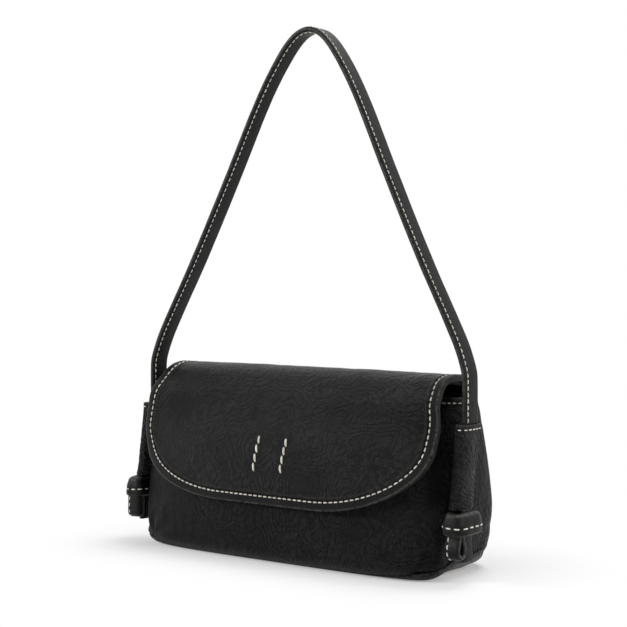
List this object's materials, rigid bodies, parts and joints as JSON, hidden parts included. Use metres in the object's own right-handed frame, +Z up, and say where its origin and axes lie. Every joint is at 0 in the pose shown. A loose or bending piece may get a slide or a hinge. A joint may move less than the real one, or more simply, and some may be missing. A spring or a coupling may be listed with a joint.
{
  "type": "shoulder bag",
  "caption": "Small boxed leather shoulder bag with a rounded front flap over a magnetic snap, and a belt strap knotted under a sleeve at each end.",
  "frame": {"origin": "centre of the base, on the surface the bag stands on", "axes": "+Z up, -Y to the front where the flap hangs, +X to the right-hand end seen from the front"},
  "size_m": [0.3026, 0.1048, 0.376],
  "materials": {
    "grain_leather": "soft pebbled grain, semi-matt",
    "belt_leather": "smooth grain with stitched edges, semi-matt",
    "lining_fabric": "plain weave",
    "stiffener_board": "pressed board, matt",
    "snap_metal": "nickel, satin"
  },
  "bodies": {
    "bag": {"front_panel": "grain_leather", "back_panel": "grain_leather", "base_panel": "grain_leather", "base_board": "stiffener_board", "lining": "lining_fabric", "mouth_facing": "grain_leather", "slip_pocket": "lining_fabric", "flap_hem": "grain_leather", "snap_socket": "snap_metal", "snap_washer": "snap_metal", "sleeve_left": "grain_leather", "sleeve_right": "grain_leather", "strap_end_left": "belt_leather", "strap_end_right": "belt_leather", "knot_wrap_left": "belt_leather", "knot_wrap_right": "belt_leather", "knot_loop_left": "belt_leather", "knot_loop_right": "belt_leather"},
    "flap_top_part": {"flap_top": "grain_leather", "flap_top_lining": "lining_fabric"},
    "flap_front_part": {"flap_front": "grain_leather", "flap_front_lining": "lining_fabric", "snap_tab": "grain_leather", "snap_stud": "snap_metal"},
    "strap_arch": {"strap": "belt_leather"}
  },
  "joints": [
    {"name": "flap_lift", "type": "hinge", "parent": "bag", "child": "flap_top_part", "pos_m": [0, 0.02568, 0.12666], "axis": [-1, 0, 0], "range_deg": [0, 48]},
    {"name": "flap_fold", "type": "hinge", "parent": "flap_top_part", "child": "flap_front_part", "pos_m": [0, -0.01599, 0.12907], "axis": [-1, 0, 0], "range_deg": [0, 132]},
    {"name": "strap_swing", "type": "hinge", "parent": "bag", "child": "strap_arch", "pos_m": [0, -0.0102, 0.11812], "axis": [-1, 0, 0], "range_deg": [-108, 108]}
  ]
}
